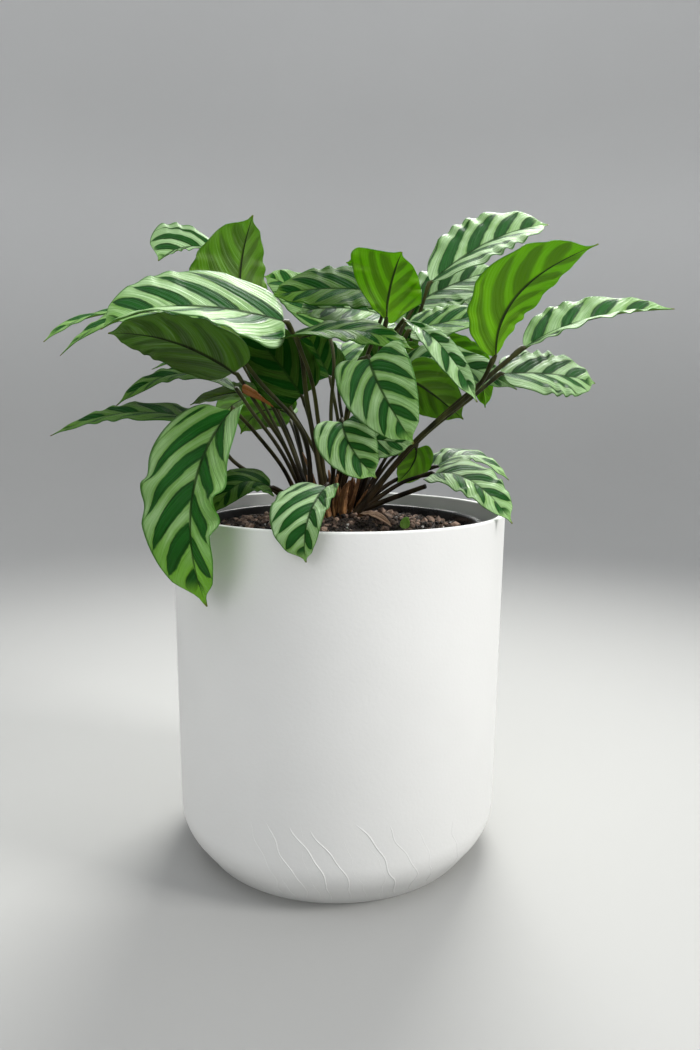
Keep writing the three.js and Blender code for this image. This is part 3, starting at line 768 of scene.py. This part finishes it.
# Leaf pattern: dark lens-shaped stripes between pale bands, with fine veins along them, the midrib's
# line and the margin
def makePatternGroup():
    inputs = {"Bands": None, "Blade": None, "Place": None, "Stripe Width": 1.0, "Softness": 0.035}
    outputs = ("Stripe", "Core", "Band", "Vein", "Rib", "Edge", "Tip", "Young", "Relief", "Cloud")
    tree, given, result = newGroup("leafPattern", inputs, outputs)
    bands = addNode(tree, "ShaderNodeSeparateXYZ", {0: given["Bands"]})
    blade = addNode(tree, "ShaderNodeSeparateXYZ", {0: given["Blade"]})
    phase, away = bands.outputs[0], bands.outputs[1]
    along = blade.outputs[0]
    right = calc(tree, "GREATER_THAN", blade.outputs[1], 0.5)
    number = calc(tree, "FLOOR", phase)
    which = addNode(tree, "ShaderNodeCombineXYZ", {0: number, 1: calc(tree, "MULTIPLY", right, 7.3)})
    chance = addNode(tree, "ShaderNodeTexWhiteNoise", {"Vector": which.outputs[0]}, noise_dimensions="2D")
    draw = addNode(tree, "ShaderNodeSeparateColor", {0: chance.outputs["Color"]})

    # half the stripe's width across its band, by how far out it is
    reach = calc(tree, "MULTIPLY", away, calc(tree, "MULTIPLY_ADD", draw.outputs[0], 0.16, 0.94))
    profile = addNode(tree, "ShaderNodeFloatCurve", {"Value": reach})
    curve = profile.mapping.curves[0]
    curve.points[0].location = stripeProfile[0]
    curve.points[1].location = stripeProfile[-1]
    for point in stripeProfile[1:-1]:
        curve.points.new(*point)
    profile.mapping.update()
    breadth = calc(tree, "MULTIPLY_ADD", draw.outputs[1], 0.35, 0.82)
    width = calc(tree, "MULTIPLY", profile.outputs[0], breadth)
    width = calc(tree, "MULTIPLY", width, given["Stripe Width"])
    wobble = noiseOf(tree, given["Place"], 160.0)
    shift = calc(tree, "MULTIPLY_ADD", wobble, 0.1, -0.05)
    cell = calc(tree, "ADD", calc(tree, "SUBTRACT", calc(tree, "FRACT", phase), 0.5), shift)
    off = calc(tree, "ABSOLUTE", cell)
    inside = calc(tree, "SUBTRACT", width, off)
    stripe = ramp(tree, inside, calc(tree, "MULTIPLY", given["Softness"], -1.0), given["Softness"])
    tree.links.new(ramp(tree, inside, 0.0, -0.22), result["Band"])
    tree.links.new(ramp(tree, inside, 0.03, 0.2), result["Core"])

    # the dark thread from the stripe's point on to the margin, and no stripes at the blade's tip
    thread = calc(tree, "MULTIPLY", ramp(tree, off, 0.06, 0.0), ramp(tree, away, 0.5, 0.8))
    stripe = calc(tree, "MAXIMUM", stripe, calc(tree, "MULTIPLY", thread, 0.5))
    stripe = calc(tree, "MULTIPLY", stripe, ramp(tree, along, 0.95, 0.86))
    tree.links.new(stripe, result["Stripe"])

    # fine streaks that run along the veins
    streakPlace = addNode(tree, "ShaderNodeCombineXYZ", {
        0: calc(tree, "MULTIPLY", phase, 22.0), 1: calc(tree, "MULTIPLY", away, 1.3),
        2: calc(tree, "MULTIPLY", right, 11.0)})
    vein = ramp(tree, noiseOf(tree, streakPlace.outputs[0], 1.0), 0.36, 0.66)
    tree.links.new(vein, result["Vein"])

    ribReach = calc(tree, "MULTIPLY_ADD", along, -0.045, 0.068)
    tree.links.new(ramp(tree, away, ribReach, calc(tree, "MULTIPLY", ribReach, 0.35)), result["Rib"])
    tree.links.new(ramp(tree, away, 0.93, 0.985), result["Edge"])
    tree.links.new(ramp(tree, along, 0.97, 1.0), result["Tip"])
    tree.links.new(ramp(tree, along, 0.55, 1.0), result["Young"])
    cloud = noiseOf(tree, given["Place"], 38.0, 3.0)
    tree.links.new(ramp(tree, cloud, 0.3, 0.7), result["Cloud"])

    # relief: the blade swells between its veins
    swell = calc(tree, "SINE", calc(tree, "MULTIPLY", phase, math.tau * 5))
    fine = calc(tree, "MULTIPLY_ADD", vein, 0.5, calc(tree, "MULTIPLY", swell, 0.25))
    tree.links.new(calc(tree, "SUBTRACT", fine, calc(tree, "MULTIPLY", stripe, 0.35)), result["Relief"])
    return tree


patternGroup = makePatternGroup()

leafTop = {
    "stripeWidth": 0.88,
    "softness": 0.035,
    # from dim through green to silver: partly the bands' own deeper green and silver, partly painted shade on
    # leaves in shade and painted light on lit ones
    "deepGreenAndShade": color(0.034, 0.068, 0.012),  # the pale bands of a leaf without silver
    "green": color(0.24, 0.43, 0.12),  # half silver
    "silver": color(0.57, 0.81, 0.44),
    "veins": color(0.060, 0.22, 0.02),
    "stripe": color(0.004, 0.035, 0.003),
    "stripeLight": color(0.012, 0.115, 0.012),
    "core": color(0.022, 0.16, 0.020),  # the middle of a stripe
    "rib": color(0.020, 0.060, 0.010),
    "edge": color(0.020, 0.12, 0.006),
    "tip": color(0.22, 0.12, 0.035),
    "young": color(0.20, 0.50, 0.020),
    "through": color(0.14, 0.42, 0.004),
    # the light through leaves with dim bands is darkened too, as painted shade
    "throughDeepGreenAndShade": color(0.020, 0.045, 0.003),
    "passes": 0.25,
    "specular": 0.005,
    "silverSpecular": 0.2,  # added to it for a leaf that is all silver
    "relief": 0.55,
}

leafUnder = {
    "stripeWidth": 1.0,
    "softness": 0.08,
    "olive": color(0.150, 0.190, 0.060),
    # undersides run from olive to fresh: olive is painted shade where little light reaches, fresh a painted
    # glow of light through the leaf
    "fresh": color(0.26, 0.56, 0.012),
    "cloud": 0.2,
    "stripe": color(0.030, 0.10, 0.006),
    # pale streaks beside the veins: painted sheen
    "veinSheen": color(0.36, 0.46, 0.27),
    "rib": color(0.030, 0.028, 0.010),
    "edge": color(0.05, 0.16, 0.01),
    "tip": color(0.2, 0.11, 0.035),
    "through": color(0.68, 0.98, 0.005),
    "throughOlive": color(0.34, 0.48, 0.06),
    "throughStripe": color(0.04, 0.22, 0.002),
    "passes": 0.52,
    "roughness": 0.4,
    "specular": 0.4,
    "relief": 0.6,
}


def patternOf(tree, look):
    values = {"Bands": uvPlace(tree, "bands"), "Blade": uvPlace(tree, "blade"), "Place": objectPlace(tree),
              "Stripe Width": look["stripeWidth"], "Softness": look["softness"]}
    return addNode(tree, "ShaderNodeGroup", values, node_tree=patternGroup).outputs


# silver or fresh, as the leaf's mesh carries it
def bladeValue(tree, name):
    return addNode(tree, "ShaderNodeAttribute", attribute_name=name).outputs["Fac"]


# Puts a Translucent shader beside the Principled one, for the light that comes through the blade
def letLightThrough(tree, shader, end, through, passes):
    thin = addNode(tree, "ShaderNodeBsdfTranslucent", {"Color": through})
    mix = addNode(tree, "ShaderNodeMixShader", {0: passes, 1: shader.outputs[0], 2: thin.outputs[0]})
    tree.links.new(mix.outputs[0], end.inputs[0])


def makeLeafTop():
    look = leafTop
    material, tree, shader, end = newMaterial("leafUpper")
    pattern = patternOf(tree, look)
    silver, fresh = bladeValue(tree, "silver"), bladeValue(tree, "fresh")
    # paler towards the middle of a band, and darker in its cloudy patches
    cloudy = calc(tree, "MULTIPLY", pattern["Cloud"], -0.4)
    paleness = calc(tree, "MULTIPLY_ADD", pattern["Band"], 0.3, cloudy)
    paleness = calc(tree, "MULTIPLY", silver, calc(tree, "ADD", paleness, 1.0))
    # low silver gives dim bands, partly painted shade; high silver gives pale ones, partly painted light
    pale = mixColor(tree, ramp(tree, paleness, 0, 0.5, False), look["deepGreenAndShade"], look["green"])
    pale = mixColor(tree, ramp(tree, paleness, 0.5, 1, False), pale, look["silver"])
    young = calc(tree, "MULTIPLY", pattern["Young"], fresh)
    pale = layered(tree, pale, [(pattern["Vein"], 0.4, look["veins"]), (young, 0.8, look["young"])])
    dark = mixColor(tree, pattern["Vein"], look["stripe"], look["stripeLight"])
    # stripes on leaves with little silver are darker as well, partly painted shade
    dark = layered(tree, dark, [
        (pattern["Cloud"], 0.4, look["stripe"]), (pattern["Core"], 0.45, look["core"]),
        (ramp(tree, silver, 0.5, 0.0), 0.75, look["stripe"])])
    shade = layered(tree, mixColor(tree, pattern["Stripe"], pale, dark), [
        (pattern["Edge"], 0.75, look["edge"]), (pattern["Rib"], 0.85, look["rib"]),
        (pattern["Tip"], 0.8, look["tip"])])
    gloss = calc(tree, "MULTIPLY_ADD", silver, look["silverSpecular"], look["specular"])
    setFinish(tree, shader, shade, ramp(tree, pattern["Vein"], -1.1, 2.9, False), gloss)
    addBump(tree, shader, pattern["Relief"], look["relief"] * mm)
    # leaves with little silver let a darker light through, as painted shade
    through = mixColor(tree, ramp(tree, silver, 0, 0.5), look["throughDeepGreenAndShade"], look["through"])
    through = layered(tree, through, [(pattern["Stripe"], 0.6, look["stripe"])])
    letLightThrough(tree, shader, end, through, look["passes"])
    return material


def makeLeafUnder():
    look = leafUnder
    material, tree, shader, end = newMaterial("leafUnderside")
    pattern = patternOf(tree, look)
    fresh = bladeValue(tree, "fresh")
    # olive undersides get pale streaks beside their veins, as painted sheen along them
    oliveShare = ramp(tree, fresh, 1.0, 0.0, False)
    veinSheenMask = calc(tree, "MULTIPLY", ramp(tree, pattern["Vein"], 0.45, 0.0), oliveShare)
    # painted glow and shade: undersides with fresh take the bright green, the others olive
    shade = layered(tree, mixColor(tree, fresh, look["olive"], look["fresh"]), [
        (pattern["Cloud"], look["cloud"], look["fresh"]), (veinSheenMask, 0.6, look["veinSheen"]),
        (pattern["Vein"], 0.3, look["stripe"]), (pattern["Stripe"], 0.2, look["stripe"]),
        (pattern["Edge"], 0.5, look["edge"]), (pattern["Rib"], 0.9, look["rib"]),
        (pattern["Tip"], 0.8, look["tip"])])
    setFinish(tree, shader, shade, look["roughness"], look["specular"])
    addBump(tree, shader, pattern["Relief"], look["relief"] * mm)
    # what comes through follows the same painted glow and shade
    through = mixColor(tree, ramp(tree, fresh, 0, 0.9, False), look["throughOlive"], look["through"])
    through = layered(tree, through, [
        (pattern["Stripe"], 0.35, look["throughStripe"]), (pattern["Rib"], 0.9, look["rib"])])
    letLightThrough(tree, shader, end, through, look["passes"])
    return material


def makeLeaves():
    upper, under = makeLeafTop(), makeLeafUnder()
    draw = random.Random(11)
    for index, (name, shape) in enumerate(leaves.items()):
        mesh = bladeMesh(f"blade_{name}", shape, draw, bandOffset=40 * (index + 1))
        thicken(addPiece(f"blade_{name}", mesh, [upper, under], [f"leaf_{name}"]))


# Petioles, as in the frame

stems = {
    "steps": 30,
    "footRadius": 2.7,
    "footLength": 45,  # over which the foot's sheath thins out
    "middleRadius": 1.75,
    "endRadius": 1.35,
    "pulvinus": 14,  # the swollen joint's length
    "pulvinusRadius": 1.75,
    "start": 3,  # above the soil
    "petioleGap": 2.4,
    "tuck": 1.5,  # how far the end reaches in under the blade
    "smallLeaf": 36,  # a leaf narrower than this has a thinner petiole
    "stubSteps": 16,
    "stubRadii": (2.4, 1.8),
    "olive": (color(0.014, 0.014, 0.004), color(0.065, 0.070, 0.018)),
    "brown": (color(0.006, 0.004, 0.003), color(0.040, 0.026, 0.013)),
    "oliveHeights": (0.295, 0.385),  # in metres, where brown turns olive
}

# each shoot's foot, and the points that the petioles of its leaves pass
shoots = {
    "left_front": ((-27, 0), {
        "left_11": [(-40, -15, 288), (-58, -50, 318)],
        "left_10": [(-62, -12, 284), (-80, -18, 298)],
        "left_12": [(-38, -12, 270)],
        "front_1": [(-24, -30, 268), (-8, -65, 283)],
    }),
    "left": ((-22, 16), {
        "left_5": [(-28, 10, 315), (-62, 5, 356)],
        "left_6": [(-41, 0, 305), (-55, -10, 328)],
        "left_8": [(-46, 10, 303), (-68, 5, 334)],
    }),
    "left_back": ((-22, 34), {
        "left_1": [(-40, 60, 330), (-66, 85, 400)],
        "left_4": [(-45, 45, 320), (-75, 55, 375)],
        "left_7": [(-48, 50, 310), (-70, 62, 350)],
        "left_9": [(-42, 40, 310)],
        "left_13": [(-28, 62, 300)],
        "back_3": [(-32, 70, 290), (-42, 95, 318)],
    }),
    "front": ((-9, 0), {
        "left_3": [(-24, -15, 341), (-28, -32, 376)],
        "front_2": [(-16, -12, 327), (-20, -30, 355)],
        "mid_1": [(-18, 18, 305)],
        "front_4": [(-4, -30, 290), (-2, -60, 322)],
    }),
    "back": ((-4, 36), {
        "left_2": [(-20, 38, 300), (-50, 32, 350)],
        "mid_3": [(-8, 50, 330), (-6, 56, 375)],
        "mid_5": [(5, 60, 330), (25, 85, 390)],
        "back_1": [(0, 58, 305)],
        "back_5": [(4, 70, 300), (-2, 92, 345)],
    }),
    "middle": ((-4, 18), {
        "front_3": [(2, 0, 310), (12, -50, 365)],
        "front_5": [(2, -10, 290)],
        "mid_2": [(6, 10, 330), (26, 2, 390)],
        "front_6": [(14, 0, 320), (28, -35, 375)],
        "front_7": [(18, 5, 320), (32, -20, 380)],
    }),
    "right": ((13, 2), {
        "right_3": [(57, -8, 312), (100, -24, 352)],
        "right_4": [(60, -6, 314), (110, -20, 361)],
        "right_5": [(62, 0, 314), (100, -8, 346)],
        "right_10": [(48, -3, 280)],
    }),
    "right_back": ((13, 20), {
        "right_11": [(45, 24, 280)],
        "right_8": [(26, 5, 300), (38, -8, 335)],
        "right_13": [(28, 18, 310), (40, 14, 345)],
        "right_6": [(26, 26, 320), (40, 22, 370)],
        "mid_4": [(20, 35, 320), (32, 42, 380)],
        "right_14": [(32, 36, 310), (56, 50, 375)],
        "right_15": [(28, 34, 330)],
        "right_12": [(45, 42, 310), (84, 62, 378)],
        "right_9": [(44, 34, 298)],
    }),
    "far_right": ((13, 38), {
        "right_1": [(36, 58, 325), (60, 64, 400)],
        "right_2": [(28, 65, 330), (48, 80, 395)],
        "right_7": [(26, 60, 310), (40, 82, 375)],
        "back_2": [(18, 60, 300)],
        "back_4": [(28, 70, 285), (44, 98, 315)],
    }),
}
# a petiole that has lost its leaf, by its shoot, and how stout some petioles are
stubs = {"right": [(35, -4, 266), (64, -20, 279)]}
stout = {"right_3": 1.15, "right_4": 1.3, "right_5": 1.1, "left_3": 1.2, "left_5": 1.15, "left_11": 0.95}


# Centripetal Catmull-Rom through the points, as the frame's stems follow it
def smoothPath(points, steps):
    points = [Vector(p) for p in points]
    line = [points[0] * 2 - points[1], *points, points[-1] * 2 - points[-2]]
    path = []
    for i in range(steps + 1):
        position = (len(points) - 1) * i / steps
        k = min(int(position), len(points) - 2)
        w = position - k
        p0, p1, p2, p3 = line[k:k + 4]
        d0, d1, d2 = [max((b - a).length ** 0.5, 1e-4) for a, b in ((p0, p1), (p1, p2), (p2, p3))]
        m1 = ((p1 - p0) / d0 - (p2 - p0) / (d0 + d1) + (p2 - p1) / d1) * d1
        m2 = ((p2 - p1) / d1 - (p3 - p1) / (d1 + d2) + (p3 - p2) / d2) * d1
        w2, w3 = w * w, w * w * w
        place = p1 * (2 * w3 - 3 * w2 + 1) + m1 * (w3 - 2 * w2 + w)
        path.append(place + p2 * (3 * w2 - 2 * w3) + m2 * (w3 - w2))
    return path


def stemStart(foot):
    return (*foot, soilTop(*foot) + stems["start"])


def petioleRoute(foot, via, leafName):
    p = stems
    shape = leaves[leafName]
    base, middle, _ = shape["points"]
    end = base + (base - middle).normalized() * p["petioleGap"]
    path = smoothPath([stemStart(foot), *via, end], p["steps"])
    path.append(base + (middle - base).normalized() * p["tuck"] - bladeAxes(shape, 0.02)[3] * 0.8)
    lengths = [0]
    for a, b in zip(path, path[1:]):
        lengths.append(lengths[-1] + (b - a).length)
    whole = lengths[-1]
    size = stout.get(leafName, 1) * (0.85 if shape["width"] < p["smallLeaf"] else 1)
    radii = []
    for done in lengths:
        left = whole - done
        radius = p["middleRadius"] + (p["endRadius"] - p["middleRadius"]) * (done / whole)
        radius += (p["footRadius"] - p["middleRadius"]) * max(0, 1 - done / p["footLength"]) ** 1.5
        swell = smoothStep(left, p["pulvinus"], p["pulvinus"] * 0.6) * smoothStep(left, -1, 4)
        radius += (p["pulvinusRadius"] - p["endRadius"]) * swell
        radii.append(radius * size * (0.75 if left < 0.5 else 1))
    return path, radii


def stubRoute(foot, via):
    steps = stems["stubSteps"]
    thick, thin = stems["stubRadii"]
    radii = [thick + (thin - thick) * i / steps for i in range(steps + 1)]
    return smoothPath([stemStart(foot), *via], steps), radii


def stemMaterial():
    p = stems
    material, tree, shader, _ = newMaterial("petiole")
    place = objectPlace(tree)
    stretched = addNode(tree, "ShaderNodeMapping", {"Vector": place, "Scale": (1, 1, 0.12)}).outputs[0]
    tone, relief = grainOf(tree, 90, 900, stretched)
    olive, brown = mixColor(tree, tone, *p["olive"]), mixColor(tree, tone, *p["brown"])
    level = calc(tree, "MULTIPLY_ADD", noiseOf(tree, stretched, 60.0), 0.06, heightOf(tree, place))
    setFinish(tree, shader, mixColor(tree, ramp(tree, level, *p["oliveHeights"]), brown, olive), 0.42, 0.15)
    addBump(tree, shader, relief, 0.25 * mm, 0.8)
    return material


def makeStems():
    material = stemMaterial()
    for name, (foot, petioles) in shoots.items():
        routes = [petioleRoute(foot, via, leafName) for leafName, via in petioles.items()]
        if name in stubs:
            routes.append(stubRoute(foot, stubs[name]))
        mesh = tubeMesh(f"petioles_{name}", routes, 3)
        for face in mesh.polygons:
            face.use_smooth = True
        addPiece(f"petioles_{name}", mesh, [material], [f"shoot_{name}"])


# Withered leaf, scrap, sprout and the dry sheaths round the shoots' feet

dryLook = {**bladeLook, "rows": 24, "columns": 12, "thickness": 0.35, "rib": 0.5, "waves": 3,
           "waveDepth": 0.07, "pucker": 0.1}

dryLeaf = leaf((-69, -34, 349), (-61, -30, 345), (-48, -22, 336), 8, (0.2, -0.8, 0.5), lobes=(0, 0),
               widest=(0.22, 0.22), taper=1.5)
scrap = leaf((14, -18, 256), (26, -30, 258), (38, -42, 252), 9, (0, -0.3, 1), rise=(35, 35), lobes=(0, 0))
sprout = leaf((47, -45, 251), (48, -46, 256), (50, -48, 259), 7, (0, -0.9, 0.4), lobes=(0, 0))

drySheaths = {"count": 46, "seed": 21, "spread": (26, 24), "centre": (-4, 16), "height": (14, 46),
              "width": (4, 8), "rise": (30, 60), "rows": 14, "columns": 6}

# the dark and light streaks, what shines through, and how much of the light does
dryFinishes = {
    "witheredLeaf": (color(0.24, 0.075, 0.008), color(0.56, 0.22, 0.025), color(0.6, 0.22, 0.03), 0.25),
    "dryScrap": (color(0.15, 0.075, 0.04), color(0.50, 0.34, 0.22), color(0.4, 0.2, 0.08), 0.2),
    "sproutGreen": (color(0.16, 0.34, 0.04), color(0.42, 0.62, 0.16), color(0.3, 0.6, 0.05), 0.3),
    "sheathBrown": (color(0.035, 0.013, 0.006), color(0.60, 0.29, 0.10), color(0.4, 0.15, 0.04), 0.15),
}


def dryMaterial(name):
    dark, light, through, passes = dryFinishes[name]
    material, tree, shader, end = newMaterial(name)
    values = {"Vector": uvPlace(tree, "blade"), "Scale": (2, 40, 1)}
    stretched = addNode(tree, "ShaderNodeMapping", values).outputs[0]
    lines = noiseOf(tree, stretched, 1.0, 3.0)
    tone, relief = grainOf(tree, 130, 700)
    shade = mixColor(tree, ramp(tree, lines, 0.3, 0.7), dark, light)
    setFinish(tree, shader, layered(tree, shade, [(tone, 0.5, dark)]), 0.7)
    addBump(tree, shader, calc(tree, "ADD", lines, relief), 0.3 * mm)
    letLightThrough(tree, shader, end, through, passes)
    return material


def makeSmallThings():
    draw = random.Random(31)
    for name, shape, finish, slotName, node in (
        ("witheredLeaf", dryLeaf, "witheredLeaf", "dry_leaf", "dry_leaf"),
        ("curledScrap", scrap, "dryScrap", "dry_leaf", "fallen_scrap"),
        ("seedling", sprout, "sproutGreen", "sprout", "sprout"),
    ):
        material = dryMaterial(finish)
        mesh = bladeMesh(name, shape, draw, dryLook)
        thicken(addPiece(name, mesh, [material, material], [node]), dryLook)


def makeDrySheaths():
    p = drySheaths
    draw = random.Random(p["seed"])
    look = {**dryLook, "rows": p["rows"], "columns": p["columns"]}
    whole = bmesh.new()
    for _ in range(p["count"]):
        around = draw.uniform(0, math.tau)
        away = draw.uniform(0.25, 1)
        x = p["centre"][0] + p["spread"][0] * away * math.cos(around)
        y = p["centre"][1] + p["spread"][1] * away * math.sin(around)
        high = draw.uniform(*p["height"]) * (1.3 - 0.7 * away)
        lean = polar(1, around, 0) * draw.uniform(0.05, 0.5) * high
        foot = Vector((x, y, soilTop(x, y) - 1))
        top = foot + Vector((0, 0, high)) + lean
        middle = (foot + top) / 2 + Vector((draw.uniform(-2, 2), draw.uniform(-2, 2), high * 0.06))
        rise = draw.uniform(*p["rise"])
        shape = leaf(foot, middle, top, draw.uniform(*p["width"]), polar(-0.9, around, 0.2),
                     rise=(rise, rise), lobes=(0, 0))
        piece = bladeMesh("sheath", shape, draw, look)
        whole.from_mesh(piece)
        bpy.data.meshes.remove(piece)
    brown = dryMaterial("sheathBrown")
    thicken(addPiece("drySheaths", meshOf("drySheaths", whole), [brown, brown]), look)


# Studio

view = {"place": (8.4, -606.5, 334.7), "down": 8.263, "roll": 0.5125, "lens": 27.31}

studio = {
    "floorRadius": 1400,
    "wallRadius": 2900,
    "wallHeight": 4200,
    "floor": color(0.35, 0.35, 0.34),
    "wall": color(0.56, 0.56, 0.55),
    "wallStart": (0.1, 1.2),  # heights in metres over which the floor's tone turns into the wall's
    "world": color(0.94, 0.96, 1.0),
    "worldStrength": 1.8,
    "spread": 75,  # degrees, of every lamp
    "target": (0, 0, 300),
    # each lamp's place, size in metres, power in watts and tint
    "lamps": {
        "key": ((1640, -560, 1300), 0.55, 5.4, (1.0, 0.99, 0.97)),
        "back": ((300, 1200, 1500), 0.9, 10, (1.0, 1.0, 0.97)),
        "fill": ((-900, -1700, 1100), 1.4, 2.4, (0.98, 0.99, 1.0)),
    },
}


def makeCamera():
    down, roll = math.radians(view["down"]), math.radians(view["roll"])
    forward = Vector((0, math.cos(down), -math.sin(down)))
    level = Vector((1, 0, 0))
    above = level.cross(forward)
    sideways = level * math.cos(roll) + above * math.sin(roll)
    upright = above * math.cos(roll) - level * math.sin(roll)
    data = bpy.data.cameras.new("camera")
    data.lens = view["lens"]
    camera = addObject("camera", data)
    turn = Matrix((sideways, upright, -forward)).transposed().to_4x4()
    camera.matrix_world = Matrix.Translation(Vector(view["place"]) * mm) @ turn
    bpy.context.scene.camera = camera


def makeStudio():
    p = studio
    reach = p["wallRadius"] - p["floorRadius"]
    outline = [(0, 0), *arc((p["floorRadius"], reach), reach, -90, 0, 12), (p["wallRadius"], p["wallHeight"])]
    bm = turned(outline, 64)
    bmesh.ops.reverse_faces(bm, faces=bm.faces)
    material, tree, shader, _ = newMaterial("paleFloor")
    height = heightOf(tree, objectPlace(tree))
    shade = mixColor(tree, ramp(tree, height, *p["wallStart"]), p["floor"], p["wall"])
    tone, _ = grainOf(tree, 1.2, 60)
    setFinish(tree, shader, layered(tree, shade, [(tone, 0.03, black)]), 0.85)
    floor = addObject("floor", meshOf("floor", bm))
    floor.data.materials.append(material)

    world = bpy.data.worlds.new("studio")
    world.use_nodes = True
    background = world.node_tree.nodes["Background"]
    background.inputs["Color"].default_value = p["world"]
    background.inputs["Strength"].default_value = p["worldStrength"]
    bpy.context.scene.world = world
    bpy.context.scene.view_settings.view_transform = "Standard"
    for name, (place, size, power, tint) in p["lamps"].items():
        data = bpy.data.lights.new(name, "AREA")
        data.size = size
        data.spread = math.radians(p["spread"])
        data.energy = power
        data.color = tint
        lamp = addObject(name, data)
        lamp.location = Vector(place) * mm
        aim = Vector(p["target"]) * mm - lamp.location
        lamp.rotation_euler = aim.to_track_quat("-Z", "Y").to_euler()


makeCamera()
makeStudio()
print("studio ready")
makePlanter()
makeInnerPot()
print("pots ready")
makeSoil()
print("potting mix ready")
makeLeaves()
print("leaves ready")
makeStems()
makeSmallThings()
makeDrySheaths()
print("stems and dry pieces ready")
